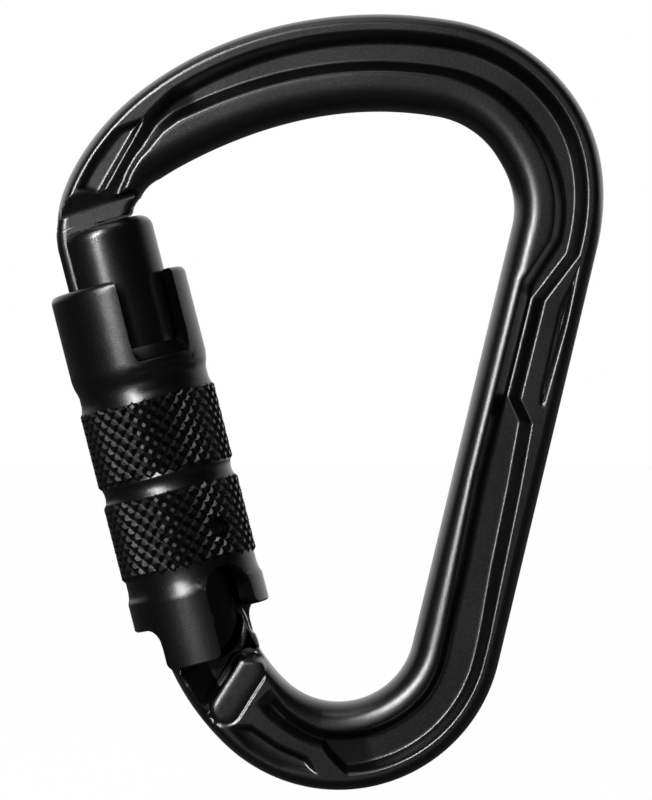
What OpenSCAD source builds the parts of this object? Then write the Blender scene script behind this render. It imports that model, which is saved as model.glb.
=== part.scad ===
// Auto-locking carabiner, pear shaped, with an H-section forged body.
// It stands upright in the XZ plane with its front face towards -Y.
// The origin is the middle of the body's outline. Units are millimetres.

/* [Bar] */
// Width of the bar at the rope basket
basket_w = 12.9; // [11:0.1:14.5]
// Width of the bar along the spine
spine_w = 11.7; // [10:0.1:12.9]
// Width of the bar at its nose end
nose_w = 6.4; // [5.5:0.1:8]
// Thickness of the bar, front to back
bar_t = 10; // [9:0.1:10.2]
// Thickness of the web between the two channels
web_t = 4.2; // [3:0.1:6]
// Width of the rounded outer edge
edge_round = 1.6; // [1.2:0.1:1.8]
// Distance from the outer edge to the channel
flange_w = 2.4; // [2.1:0.1:2.9]
// Width of the rounded rope-bearing flange at the basket
rope_flange_w = 4.8; // [4:0.1:5.4]
// Width of the inner flange along the spine
spine_flange_w = 3; // [2.6:0.1:4]
// Width of each sloping channel wall
wall_run = 1.3; // [0.8:0.1:1.6]

/* [Outline] */
// Radius of the bar's centre line at the nose shoulder
nose_r = 34.5; // [30:0.5:40]
// Radius over the rope basket
basket_r = 52.4; // [48:0.2:60]
// Radius at the top of the spine
corner_r = 18.1; // [16:0.1:20]
// Radius round the bottom
base_r = 16; // [15:0.2:18]

/* [Gate] */
// Lean of the gate away from upright, in degrees
gate_tilt = 14.35; // [10:0.05:18]
// Height of the closed gate's top above the hinge
gate_h = 54.3; // [52:0.1:54.5]
// Diameter of the gate at its top
gate_d = 13.06; // [12.6:0.02:13.2]
// Diameter of the gate's waist and ears
waist_d = 11.9; // [11.4:0.1:12]
// Height at which the waist ends in a shoulder
waist_h = 32.6; // [30:0.2:35]
// Width of the fork between the ears
fork_w = 4.4; // [4:0.1:4.6]
// Width of each ear across the gate
ear_w = 8.8; // [8:0.1:9]
// Diameter of the hinge rivet
rivet_d = 3; // [2.6:0.1:3.2]
// Furthest swing of the gate, in degrees
gate_swing = 26; // [20:1:26]

/* [Nose] */
// Thickness of the nose tongue
tongue_t = 7.6; // [6.4:0.1:8]
// Height of the step where the body thins to the tongue, above the gate's top
nose_step = 2.2; // [1.8:0.1:2.6]
// Depth of the nose slot below the gate's top
slot_depth = 13.4; // [12.4:0.1:14]
// Width of the slot's wide foot
slot_foot_w = 9; // [8.6:0.1:9.4]

/* [Sleeve] */
// Outer diameter of the sleeve's collars
sleeve_d = 18.4; // [18:0.1:18.8]
// Depth of the grooves and necks in the sleeve
neck_depth = 0.38; // [0.2:0.02:0.5]
// Height of the sleeve's top rim above the hinge
sleeve_top = 46.4; // [45.4:0.1:47]
// Height of the lower end of the sleeve's two long tabs
tab_end = -5.3; // [-5.4:0.1:-4.4]
// Height of the sleeve's lower end between the tabs
skirt_end = 0.5; // [0.3:0.1:1.5]
// Height of the top of the two arches in the skirt
arch_top = 6.5; // [6:0.1:6.6]
// Width of the nose window in the sleeve's rim
window_w = 8.6; // [8.4:0.1:9]
// Height of the window's floor at the bore
window_floor = 37.1; // [36.5:0.1:38]
// Lift of the sleeve as it unlocks
sleeve_lift = 3; // [2.6:0.1:3.2]
// Turn of the sleeve from locked to open, in degrees
sleeve_turn = 120; // [110:1:122]
// Diameter of the guide pin
pin_d = 2.5; // [2:0.1:2.6]
// Height of the guide pin above the hinge
pin_h = 11.6; // [11.4:0.1:11.8]

/* [Springs] */
// Wire diameter of the sleeve spring
sleeve_wire = 0.6; // [0.4:0.02:0.64]
// Number of turns of the sleeve spring
sleeve_turns = 7; // [5:1:9]
// Wire diameter of the gate spring
gate_wire = 0.5; // [0.4:0.05:0.6]
// Number of turns of the gate spring
gate_turns = 9; // [6:1:12]
// Diameter of the plunger's round head
plunger_d = 4.88; // [4.4:0.02:5]

/* [Hidden] */
$fn = 96;

black = [0.09, 0.09, 0.1];
steel = [0.72, 0.72, 0.7];

run_gap = 0.06;      // radial clearance of a running fit
free_gap = 0.3;      // clearance between pieces that pass each other
seat_gap = 0.02;     // clearance of a piece held fast in its seat
reach = 30;          // cutters run this far past what they cut

// ---- centre line of the bar: [radius, turn] per arc, [length, 0] for the straight ----
// The bar starts over the gate and comes back under its hinge. Two straights, over the
// basket and down the spine, take the lengths that close this loop.
hinge = [-16.47, 0, -29.13];
function from_gate(x, h) = [hinge[0] + x * cos(gate_tilt) - h * sin(gate_tilt),
                            hinge[2] + x * sin(gate_tilt) + h * cos(gate_tilt)];
bar_start = from_gate(-2.89, gate_h + 1.49);
bar_back = from_gate(3.69, -13.72);
bar_heading = 61.2;
bar_arcs = [[nose_r, 28], [basket_r, 41.9], [0, 0], [corner_r, 79], [19.3, 15.7], [0, 0], [base_r, 120.4]];

function turned(n) = n == 0 ? bar_heading : turned(n - 1) - bar_arcs[n - 1][1];
function chord(n) = let (a = turned(n), b = turned(n + 1), r = bar_arcs[n][0])
    r * [sin(a) - sin(b), cos(b) - cos(a)];
function chords(n = 0) = n == len(bar_arcs) ? [0, 0] : chord(n) + chords(n + 1);
function cross2(a, b) = a[0] * b[1] - a[1] * b[0];
to_close = bar_back - bar_start - chords();
top_dir = [cos(turned(2)), sin(turned(2))];
spine_dir = [cos(turned(5)), sin(turned(5))];
top_l = cross2(to_close, spine_dir) / cross2(top_dir, spine_dir);
spine_l = cross2(top_dir, to_close) / cross2(top_dir, spine_dir);
bar_run = [bar_arcs[0], bar_arcs[1], [top_l, 0], bar_arcs[3], bar_arcs[4], [spine_l, 0], bar_arcs[6],
           [27.7, 12]];

function run_len(g) = g[1] == 0 ? g[0] : g[0] * g[1] * PI / 180;
function run_to(n, i = 0) = i >= n ? 0 : run_len(bar_run[i]) + run_to(n, i + 1);

// Place and heading [x, z, heading] at distance s along the bar
function bar_at(s, i = 0, x = bar_start[0], z = bar_start[1], h = bar_heading) =
    let (g = bar_run[i], l = run_len(g), t = min(s, l), turn = g[1] * t / l,
         nx = g[1] == 0 ? x + t * cos(h) : x + g[0] * (sin(h) - sin(h - turn)),
         nz = g[1] == 0 ? z + t * sin(h) : z - g[0] * (cos(h) - cos(h - turn)))
    (s <= l || i == len(bar_run) - 1) ? [nx, nz, h - turn] : bar_at(s - l, i + 1, nx, nz, h - turn);

corner_start = run_to(3);
corner_end = run_to(5);
spine_end = run_to(6);
base_end = run_to(7);
bar_end = run_to(8);

function ease(a, b, s) = let (t = max(0, min(1, (s - a) / (b - a)))) t * t * (3 - 2 * t);
// 1 between b and c, easing to 0 at a and d
function bump(a, b, c, d, s) = min(ease(a, b, s), 1 - ease(c, d, s));

taper_l = 44;
function bar_w(s) =
    let (taper = pow(max(0, 1 - s / taper_l), 3))
    (basket_w + (spine_w - basket_w) * ease(corner_start + 15, corner_end - 1, s)) * (1 - taper)
    + nose_w * taper;

lug_t = fork_w - free_gap;

// The channel's outer wall steps inwards beside the slim pocket in the spine's outer flange
jog_run = [corner_end + 1.5, corner_end + 7.5, corner_end + 20, corner_end + 26];
function jog(s) = bump(jog_run[0], jog_run[1], jog_run[2], jog_run[3], s);
jog_outer = 3;
// Round the bottom its outer wall steps in again, beside the wide leaf-shaped pocket
function base_jog(s) = ease(base_end - 14, base_end - 9, s);
base_jog_outer = 3.6;
channel_from = 13;
channel_to = base_end + 1;
function channel(s) = bump(channel_from, channel_from + 4, channel_to - 4, channel_to, s);

// Half section from the outer edge to the inner edge, as [distance in from the outer edge, height]
function half_section(s) =
    let (w = bar_w(s), t = bar_t / 2, er = min(edge_round, w / 4), c = channel(s),
         a = flange_w * w / basket_w + jog_outer * jog(s) + base_jog_outer * base_jog(s),
         slim = ease(corner_end - 1, corner_end + 8, s),
         d = w - rope_flange_w * w / basket_w * (1 - slim) - spine_flange_w * slim,
         floor_y = t - c * (t - web_t / 2))
    concat([for (i = [0:3]) [er * (1 - cos(i * 30)), t * sin(i * 30)]],
           [[a, t], [a + wall_run, floor_y], [d - wall_run, floor_y], [d, t]],
           [for (i = [1:5]) [w - (w - d) * (1 - sin(i * 18)), t * cos(i * 18)]]);

// Whole ring at s, in space: front half first, then the back half in reverse
function ring(s) =
    let (p = bar_at(s), n = [-sin(p[2]), cos(p[2])], w = bar_w(s), half = half_section(s), m = len(half),
         both = concat([for (q = half) [q[0], -q[1]]], [for (i = [m - 2:-1:1]) half[i]]))
    [for (q = both) let (v = w / 2 - q[0]) [p[0] + n[0] * v, q[1], p[1] + n[1] * v]];

function loft_faces(rings, m) = concat(
    [[for (i = [0:m - 1]) i]],
    [for (k = [0:rings - 2], i = [0:m - 1]) let (j = (i + 1) % m) [k * m + i, (k + 1) * m + i, k * m + j]],
    [for (k = [0:rings - 2], i = [0:m - 1]) let (j = (i + 1) % m) [k * m + j, (k + 1) * m + i, (k + 1) * m + j]],
    [[for (i = [m - 1:-1:0]) (rings - 1) * m + i]]);

module bar() {
    stations = concat([for (s = [0:3.5:corner_start]) s],
                      [for (s = [corner_start + 2:2.5:corner_end + 28]) s],
                      [for (s = [corner_end + 33:14:spine_end - 3]) s],
                      [for (s = [spine_end:2.6:bar_end - 1]) s], [bar_end]);
    rings = [for (s = stations) ring(s)];
    m = len(rings[0]);
    polyhedron([for (r = rings, p = r) p], loft_faces(len(rings), m), convexity = 12);
}

// ---- the gate's own frame: hinge at the origin, gate axis up, inside of the carabiner at +X ----
module in_gate_frame() { translate(hinge) rotate([0, -gate_tilt, 0]) children(); }

// Extrude a drawing in the gate's XZ plane to a slab of thickness t
module slab(t) { rotate([90, 0, 0]) linear_extrude(t, center = true) children(); }

gate_r = gate_d / 2;
waist_r = waist_d / 2;
ear_r = ear_w / 2;
nose_gap = 0.35;
tongue_in = -0.5;
ledge_h = tab_end - free_gap;
foot_h = 6;
rim_gap = 0.1;

// Cam on the lug: the tip's centre rises evenly with the gate's swing
tip_r = 1.6;
cam_r = 4.3;
cam_rise = 1.2;
cam_gap = 0.05;
function tip_height(turn) = cam_r + tip_r + cam_rise * max(0, turn) / gate_swing;
function cam_point(b) =
    let (rho = tip_height(b), c = b < 0 ? 0 : cam_rise / gate_swing * 180 / PI,
         n = [rho * sin(b) - c * cos(b), c * sin(b) + rho * cos(b)])
    [rho * sin(b), rho * cos(b)] - (tip_r + cam_gap) * n / norm(n);

// The lug inside the fork, with the cam on its head and the neck's inner edge beside the ears
module lug_outline() {
    polygon(concat([for (b = [-84:12:-12]) cam_point(b)], [for (b = [0:4:gate_swing + 8]) cam_point(b)],
                   [[4.7, 2.4], [5.1, 0.9], [5.55, -0.3], [5.75, -2.2], [5.8, -3], [6.3, -3.6],
                    [6.7, -5.6], [6.6, -8.2], [4, -10.5], [-3, -11], [-4.6, -7.4], [-5.7, -4.6], [-5.2, -2.6]]));
}

// The nose thins here to the tongue; its inner corner follows the bar's inner edge
nose_step_h = gate_h + nose_step;
slot_h = gate_h - slot_depth;
module nose_outline() {
    polygon([[-5.4, nose_step_h + 0.6], [-6.17, nose_step_h - 1.4], [-6.5, nose_step_h - 4],
             [-6.5, slot_h], [tongue_in, slot_h], [tongue_in, gate_h + nose_gap],
             [4.3, gate_h + nose_gap], [4.7, nose_step_h - 1.3], [6.3, nose_step_h + 0.2],
             [5.5, nose_step_h + 0.6]]);
}

// Where the sleeve's skirt and tabs can be outside its bore, between two heights
module skirt_sweep(low, high) {
    difference() {
        translate([-reach, -reach, low]) cube([reach + 14, 2 * reach, high - low]);
        cylinder(r = sleeve_bore_r - free_gap, h = 4 * reach, center = true);
    }
}

// Where the ears and the flats above them can be
module ear_sweep(high) {
    rotate([90, 0, 0]) cylinder(r = ear_r + free_gap, h = 2 * reach, center = true);
    translate([-reach, -reach, 0]) cube([reach + ear_r + free_gap, 2 * reach, high]);
}

// Everything thicker than the lug keeps clear of the ears and of the skirt, at rest and at full swing
module shoulder_cutter() {
    skirt_sweep(ledge_h, nose_step_h);
    ear_sweep(nose_step_h);
    translate([-reach, -reach, horn_h]) cube([reach + 14, 2 * reach, nose_step_h - horn_h]);
    rotate([0, gate_swing, 0]) {
        skirt_sweep(ledge_h + sleeve_lift, horn_top);
        ear_sweep(horn_top);
    }
}

// The neck's horn rises beside the ears
horn_h = 0.3;
horn_top = 6;
module horn() {
    slab(bar_t - 1) polygon([[-3, -8], [-3, -5], [4, 0.6], [5.7, 0.6], [5.65, -2.2], [5.7, -3.1],
                             [6.2, -3.8], [6.5, -5.6], [6.4, -8]]);
}

// The tongue stops above the locked sleeve's rim, so that the gate can be swung with its sleeve down
module tongue() {
    difference() {
        intersection() {
            slab(tongue_t) nose_outline();
            cylinder(r = gate_r - 0.03, h = nose_step_h + 1);
        }
        rotate([90, 0, 0]) cylinder(r = norm([sleeve_r, sleeve_top]) + rim_gap, h = reach, center = true);
    }
}

// Slim leaf-shaped pockets and the pill-shaped boss, mirrored front and back
module both_faces() {
    children();
    mirror([0, 1, 0]) children();
}

module leaf(points, depth) {
    translate([0, -bar_t / 2 + depth, 0]) rotate([90, 0, 0])
        linear_extrude(depth + 1) polygon(points);
}

// Corners of each pocket as distances [along the bar, in from its outer edge]
function on_bar(from, corners) = [for (p = corners)
    let (s = from + p[0], q = bar_at(s), v = bar_w(s) / 2 - p[1])
    [q[0] - sin(q[2]) * v, q[1] + cos(q[2]) * v]];
nose_leaf = on_bar(0, [[15.3, 3.3], [11.8, 2.45], [7.7, 2.3], [3.75, 2.5], [5.15, 4.7], [7, 5.5], [14.9, 4.3]]);
base_leaf = on_bar(base_end, [[1.45, 1.6], [-1, 3.95], [-4.85, 4.15], [-9.2, 3.6], [-9.6, 2.45], [-5.8, 2],
                              [-2.4, 1.6], [0.1, 1.45]]);
spine_leaf = on_bar(corner_end, [[4.5, 2.2], [9, 2], [13, 1.95], [18, 1.95], [20.6, 2.25], [20.6, 2.65],
                                 [18, 2.95], [13, 2.95], [9, 2.75]]);
leaf_depth = 1.6;
pill_ends = [[4.39, -7.87], [0.03, -11.98]];
pill_r = 1.9;

module body() {
    color(black) difference() {
        union() {
            difference() {
                union() {
                    bar();
                    in_gate_frame() horn();
                }
                in_gate_frame() shoulder_cutter();
                both_faces() {
                    leaf(nose_leaf, leaf_depth);
                    leaf(base_leaf, leaf_depth);
                    leaf(spine_leaf, leaf_depth);
                }
            }
            in_gate_frame() {
                hull() {
                    translate([-5.85, -bar_t / 2 + 0.8, nose_step_h]) cube([7, bar_t - 1.6, 0.4]);
                    translate([-4.8, -bar_t / 2 + 0.2, nose_step_h]) cube([5, bar_t - 0.4, 0.4]);
                    translate([-5.05, -bar_t / 2 + 1.5, nose_step_h + 2]) cube([4, bar_t - 3, 0.2]);
                }
                slab(lug_t) lug_outline();
                tongue();
                both_faces() hull() for (p = pill_ends)
                    translate([p[0], -bar_t / 2 + pill_r - 0.1, p[1]]) sphere(pill_r, $fn = 20);
            }
        }
        in_gate_frame() rotate([90, 0, 0])
            cylinder(d = rivet_d + 2 * run_gap, h = reach, center = true);
    }
}

// ---- gate ----
fork_top = 8;
flat_top = 8.3;
bore_d = plunger_d + 2 * run_gap;
bore_top = 29.5;
top_fillet = 1.7;
slot_w = tongue_t + 0.6;
slot_gap = 0.8;
head_r = rivet_d / 2 + 0.1;
head_t = 0.5;
head_seat = 5.35;
pin_phi = 36.6;

module radial(phi, h) { rotate([0, 0, phi - 90]) translate([0, 0, h]) rotate([0, 90, 0]) children(); }

module gate_turning() {
    rotate_extrude() polygon(concat(
        [[0, -ear_r], [waist_r, -ear_r], [waist_r, waist_h - 0.4], [gate_r, waist_h]],
        [for (a = [0:9:90]) [gate_r - top_fillet * (1 - cos(a)), gate_h - top_fillet * (1 - sin(a))]],
        [[0, gate_h]]));
}

module gate_barrel() {
    color(black) in_gate_frame() difference() {
        gate_turning();
        // fork between the ears, flats beside them and their round ends
        translate([-reach, -fork_w / 2, -reach]) cube([2 * reach, fork_w, reach + fork_top]);
        for (side = [0, 180]) rotate([0, 0, side])
            translate([ear_w / 2, -reach, -reach]) cube([reach, 2 * reach, reach + flat_top]);
        slab(2 * reach) difference() {
            translate([-reach, -reach]) square([2 * reach, reach]);
            circle(ear_r);
        }
        // rivet hole with its two head seats
        rotate([90, 0, 0]) cylinder(d = rivet_d + 2 * seat_gap, h = reach, center = true);
        for (side = [0, 180]) rotate([0, 0, side]) translate([0, -head_seat, 0])
            rotate([90, 0, 0]) cylinder(r = head_r + 0.05, h = reach);
        // plunger bore, guide pin hole
        cylinder(d = bore_d, h = bore_top);
        radial(pin_phi, pin_h) cylinder(d = pin_d + 2 * seat_gap, h = reach);
        // keyhole slot for the nose tongue, open towards the outside
        slab(slot_w) translate([-reach, slot_h]) square([reach + tongue_in + slot_gap, reach]);
        slab(slot_foot_w) translate([-reach, slot_h - slot_gap])
            square([reach + tongue_in + slot_gap, foot_h]);
    }
}

module hinge_rivet() {
    color(steel) in_gate_frame() rotate([90, 0, 0]) {
        cylinder(d = rivet_d, h = 2 * head_seat + 2 * head_t, center = true);
        for (side = [-1, 1]) translate([0, 0, side * (head_seat + seat_gap + head_t / 2)])
            cylinder(r = head_r, h = head_t, center = true);
    }
}

plunger_l = 6;
stem_d = 2.6;
stem_l = 9;
module gate_plunger() {
    color(steel) in_gate_frame() {
        tip = tip_height(0);
        translate([0, 0, tip]) {
            sphere(tip_r);
            cylinder(r = tip_r, h = 3);
            translate([0, 0, 2.6]) cylinder(d = plunger_d, h = plunger_l);
            cylinder(d = stem_d, h = 2.6 + plunger_l + stem_l);
        }
    }
}

// Round wire wound up the gate axis between two heights, with closed end turns
module coil(mean_r, wire, turns, low, high, steps, sides) {
    n = turns * steps;
    rise = high - low - wire;
    function wire_at(i) = let (t = i / n, e = (turns * t < 1) ? 0.35 * turns * t :
                               (turns * (1 - t) < 1) ? turns - 2 * 0.65 - 0.35 * turns * (1 - t) :
                               0.35 + (turns * t - 1)) e / (turns - 2 * 0.65);
    points = [for (i = [0:n], k = [0:sides - 1])
        let (a = 360 * i / steps, b = 360 * k / sides, r = mean_r + wire / 2 * cos(b))
        [r * cos(a), r * sin(a), low + wire / 2 + rise * wire_at(i) + wire / 2 * sin(b)]];
    polyhedron(points, [for (f = loft_faces(n + 1, sides)) [for (i = [len(f) - 1:-1:0]) f[i]]]);
}

module gate_spring() {
    color(steel) in_gate_frame()
        coil(bore_d / 2 - gate_wire / 2 - 0.12, gate_wire, gate_turns,
             tip_height(0) + 2.6 + plunger_l + seat_gap, bore_top - seat_gap, 12, 6);
}

// ---- sleeve ----
sleeve_r = sleeve_d / 2;
sleeve_bore_r = gate_r + 0.27;
rib_r = waist_r + 0.12;
rib_low = 13.6;
rib_high = 15.1;
bands = [[7.7, 17.4], [20.3, 30.1]];
lower_collar = 4.2;
upper_collar = 34.6;
rim_fillet = 0.9;
window_phi = 27.75;
tab_phi = [-39.5, 9.7];
arch_phi = [9.7, 55];
tab_fillet = 2.6;

function arc(c, r, a0, a1, n = 8) = [for (i = [0:n]) let (a = a0 + (a1 - a0) * i / n) c + r * [cos(a), sin(a)]];

module sleeve_turning() {
    neck_r = sleeve_r - neck_depth;
    rotate_extrude() polygon(concat(
        [[sleeve_bore_r, tab_end], [sleeve_r, tab_end], [sleeve_r, lower_collar],
         [neck_r, lower_collar + 1.2], [neck_r, bands[0][0] - 0.3], [sleeve_r, bands[0][0]],
         [sleeve_r, bands[0][1]], [neck_r, bands[0][1] + 0.3], [neck_r, bands[1][0] - 0.3],
         [sleeve_r, bands[1][0]], [sleeve_r, bands[1][1]], [neck_r, bands[1][1] + 0.5],
         [neck_r, upper_collar - 1.6], [sleeve_r, upper_collar]],
        arc([sleeve_r - rim_fillet, sleeve_top - rim_fillet], rim_fillet, 0, 90),
        [[sleeve_bore_r, sleeve_top], [sleeve_bore_r, rib_high], [rib_r, rib_high],
         [rib_r, rib_low], [sleeve_bore_r, rib_low]]));
}

// A wall round the gate axis from r0 to r1, between two unrolled lines [degrees, height]
module wrapped(low, high, r0, r1) {
    n = len(low);
    function on(r, p) = [r * sin(p[0]), -r * cos(p[0]), p[1]];
    points = concat([for (p = low) on(r0, p)], [for (p = low) on(r1, p)],
                    [for (p = high) on(r1, p)], [for (p = high) on(r0, p)]);
    strips = [for (k = [0:3], i = [0:n - 2]) let (a = k * n + i, b = ((k + 1) % 4) * n + i) [a, b, b + 1, a + 1]];
    polyhedron(points, concat([for (f = strips) [f[0], f[1], f[2]]], [for (f = strips) [f[0], f[2], f[3]]],
                              [[3 * n, 2 * n, n, 0]], [[n - 1, 2 * n - 1, 3 * n - 1, 4 * n - 1]]));
}

// A sector of the skirt below a level, from one azimuth to another
module sector(from, to, level) {
    rotate([0, 0, from - 90]) rotate_extrude(angle = to - from)
        translate([sleeve_bore_r - 1, tab_end - 2]) square([sleeve_r - sleeve_bore_r + 2, level - tab_end + 2]);
}

// A drawing [across, height] cut outwards through the wall at an azimuth
module through_wall(phi) { rotate([0, 0, phi - 90]) rotate([90, 0, 90]) linear_extrude(reach) children(); }

// Between the long tabs: a round arch beside one, a hollow corner beside the next
module skirt_cutter() {
    arch_mid = (arch_phi[0] + arch_phi[1]) / 2;
    arch_r = sleeve_r * sin((arch_phi[1] - arch_phi[0]) / 2);
    corner_phi = asin(tab_fillet / 2 / sleeve_r);
    next_tab = tab_phi[0] + 180;
    for (side = [0, 180]) rotate([0, 0, side]) {
        sector(arch_mid, next_tab - 2 * corner_phi, skirt_end);
        through_wall(arch_mid) {
            translate([0, arch_top - arch_r]) circle(arch_r);
            translate([-arch_r, tab_end - 2]) square([2 * arch_r, arch_top - arch_r - tab_end + 2]);
        }
        through_wall(next_tab - corner_phi) difference() {
            translate([-tab_fillet, tab_end - 2]) square([1.5 * tab_fillet, skirt_end - tab_end + 2]);
            translate([-tab_fillet / 2, skirt_end]) difference() {
                translate([0, -tab_fillet]) square([2 * tab_fillet, 2 * tab_fillet]);
                translate([0, -tab_fillet]) circle(tab_fillet);
            }
        }
    }
}

module window_cutter() {
    rotate([0, 0, window_phi - 90]) intersection() {
        rotate([90, 0, 0]) linear_extrude(window_w, center = true)
            polygon([[2, window_floor], [sleeve_bore_r, window_floor],
                     [sleeve_r + 1, window_floor - 0.84 * (sleeve_r + 1 - sleeve_bore_r)],
                     [sleeve_r + 1, sleeve_top + 1], [2, sleeve_top + 1]]);
        translate([0, 0, window_floor - 2]) rotate([90, 0, 90]) linear_extrude(sleeve_r + 2)
            offset(1.2, $fn = 24) offset(-1.2) translate([-window_w / 2, 0]) square([window_w, 20]);
    }
}

// Track for the guide pin: a lift and a turn, open to every point between them
track_r = 8.1;
track_gap = 0.12;
module track_cutter() {
    reach_deg = asin((pin_d / 2 + track_gap) / sleeve_bore_r) + 1;
    steps = 24;
    top = pin_h + pin_d / 2 + track_gap;
    bottom = pin_h - sleeve_lift - pin_d / 2 - track_gap;
    span = sleeve_turn + 2 * reach_deg;
    phis = [for (i = [0:steps]) pin_phi - reach_deg + span * i / steps];
    wrapped([for (p = phis) [p, bottom]],
            [for (p = phis) [p, top - sleeve_lift * max(0, min(1, (p - pin_phi - reach_deg) / sleeve_turn))]],
            sleeve_bore_r - 0.5, track_r);
}

module locking_sleeve() {
    color(black) in_gate_frame() difference() {
        sleeve_turning();
        skirt_cutter();
        window_cutter();
        track_cutter();
        radial(pin_phi, pin_h) cylinder(d = pin_d + 2 * track_gap, h = reach);
    }
}

module sleeve_spring() {
    color(steel) in_gate_frame()
        coil((waist_r + sleeve_bore_r) / 2, sleeve_wire, sleeve_turns,
             rib_high + seat_gap, waist_h - 0.4 - seat_gap, 24, 6);
}

bush_low = 8.4;
module guide_bush() {
    color([0.85, 0.85, 0.82]) in_gate_frame() difference() {
        translate([0, 0, bush_low]) cylinder(r = sleeve_bore_r - 0.08, h = rib_low - 0.05 - bush_low);
        cylinder(r = waist_r + seat_gap, h = reach);
        radial(pin_phi, pin_h) cylinder(d = pin_d + 2 * seat_gap, h = reach);
    }
}

pin_in = 3.2;
pin_out = 7.9;
module guide_pin() {
    color(steel) in_gate_frame() radial(pin_phi, pin_h)
        translate([0, 0, pin_in]) cylinder(d = pin_d, h = pin_out - pin_in);
}

body();
gate_barrel();
hinge_rivet();
gate_plunger();
gate_spring();
locking_sleeve();
sleeve_spring();
guide_bush();
guide_pin();
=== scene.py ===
"""Looks of the locking carabiner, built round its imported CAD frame.

It stands upright in the XZ plane with its front face towards -Y. Shapes are worked out in
millimetres and stored in metres. The gate's own frame has the hinge at its origin, its height up
the gate and its X towards the inside of the carabiner; azimuths are degrees from the front (-Y)
towards +X.
"""

from math import asin, atan2, cos, degrees, hypot, pi, radians, sin, sqrt

import bmesh
import bpy
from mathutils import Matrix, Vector


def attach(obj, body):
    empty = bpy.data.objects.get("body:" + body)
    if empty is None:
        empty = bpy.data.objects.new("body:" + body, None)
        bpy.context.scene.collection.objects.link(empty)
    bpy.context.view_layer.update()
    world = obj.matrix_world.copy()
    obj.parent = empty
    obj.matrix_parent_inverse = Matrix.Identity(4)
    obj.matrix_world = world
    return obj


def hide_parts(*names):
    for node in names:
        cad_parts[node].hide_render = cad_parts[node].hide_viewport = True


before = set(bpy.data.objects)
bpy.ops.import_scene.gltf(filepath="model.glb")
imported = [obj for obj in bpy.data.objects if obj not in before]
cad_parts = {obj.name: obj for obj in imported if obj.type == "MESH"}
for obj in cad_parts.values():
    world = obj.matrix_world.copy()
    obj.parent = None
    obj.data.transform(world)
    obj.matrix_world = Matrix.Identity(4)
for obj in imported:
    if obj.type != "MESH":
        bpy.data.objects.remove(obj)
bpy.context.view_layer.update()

MM = 0.001

# ---------------------------------------------------------------- shared sizes, as in the part
BAR_T = 10.0
BASKET_W, SPINE_W, NOSE_W = 12.9, 11.7, 6.4
TAPER_L = 44
EDGE_ROUND, WALL_RUN = 1.6, 1.45
BAR_START, BAR_HEADING = (-33.097, 24.201), 61.2
# the centre line from the nose to the lug: (radius, degrees turned), or (length, 0) where it is straight
BAR_RUN = [(34.5, 28), (52.4, 41.9), (0.687, 0), (18.1, 79), (19.3, 15.7), (57.107, 0), (16, 120.4),
           (27.7, 12)]

HINGE = (-16.47, -29.13)
GATE_TILT = 14.35
GATE_SWING, SLEEVE_LIFT = 26, 3
GATE_H = 54.3
NOSE_STEP_H = 56.5
NOSE_GAP = 0.35
TONGUE_T, TONGUE_IN = 7.6, -0.5
LUG_T = 4.1
RIVET_HOLE_R = 1.56

SLEEVE_R, BORE_R, NECK_R = 9.2, 6.8, 8.82
SLEEVE_TOP, TAB_END, SKIRT_END, ARCH_TOP = 46.4, -5.3, 0.5, 6.5
TAB_PHI, ARCH_PHI = (-39.5, 9.7), (9.7, 55.0)
WINDOW_PHI, WINDOW_HALF, WINDOW_FLOOR = 27.75, 4.3, 37.1
BANDS = [(7.7, 17.4), (20.3, 30.1)]
LOWER_COLLAR, UPPER_COLLAR = 4.2, 34.6
PIN_PHI, PIN_H, HOLE_R = 36.6, 11.6, 1.37


# ---------------------------------------------------------------- curves and distances
def ease(a, b, s):
    """0 below a and 1 above b, with a smooth climb between them."""
    t = max(0.0, min(1.0, (s - a) / (b - a)))
    return t * t * (3 - 2 * t)


def bump(a, b, c, d, s):
    """1 between b and c, easing to 0 at a and d."""
    return min(ease(a, b, s), 1 - ease(c, d, s))


def mix(a, b, t):
    return a + (b - a) * t


def spread(a, b, n):
    return [mix(a, b, i / n) for i in range(n + 1)]


def ramp(a, b, x, soft=0.2):
    """A straight climb from 0 at a to 1 at b, its two corners rounded."""
    def area(at):
        u = max(0.0, min(1.0, (at - a) / (b - a)))
        return (b - a) * u * u / 2 + max(0.0, at - b)
    return (area(x + soft) - area(x - soft)) / (2 * soft)


def rounded(u, power):
    """Height of an edge of unit height and width, u of the way out; a power of 2 is a quarter circle."""
    return max(0.0, 1 - u ** power) ** (1 / power)


def quarter(d, r):
    """Drop of a quarter-round edge of radius r, d in from the side."""
    return r * (1 - sqrt(max(0.0, 1 - (1 - d / r) ** 2))) if d < r else 0.0


def along(points, x):
    """Value at x along a list of (x, value)."""
    if x <= points[0][0]:
        return points[0][1]
    for (x0, v0), (x1, v1) in zip(points, points[1:]):
        if x <= x1:
            return mix(v0, v1, (x - x0) / (x1 - x0))
    return points[-1][1]


def arc(cx, cy, r, a0, a1, n):
    angles = [radians(a) for a in spread(a0, a1, n)]
    return [(cx + r * cos(a), cy + r * sin(a)) for a in angles]


def from_segment(p, q, x, z):
    """Distance from a point to the stretch between p and q."""
    ex, ez = q[0] - p[0], q[1] - p[1]
    t = max(0.0, min(1.0, ((x - p[0]) * ex + (z - p[1]) * ez) / (ex * ex + ez * ez)))
    return hypot(x - p[0] - t * ex, z - p[1] - t * ez)


def right_of(p, q, x, z):
    """Distance from a point to the line from p to q, positive on its right."""
    ex, ez = q[0] - p[0], q[1] - p[1]
    return ((x - p[0]) * ez - (z - p[1]) * ex) / hypot(ex, ez)


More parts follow.
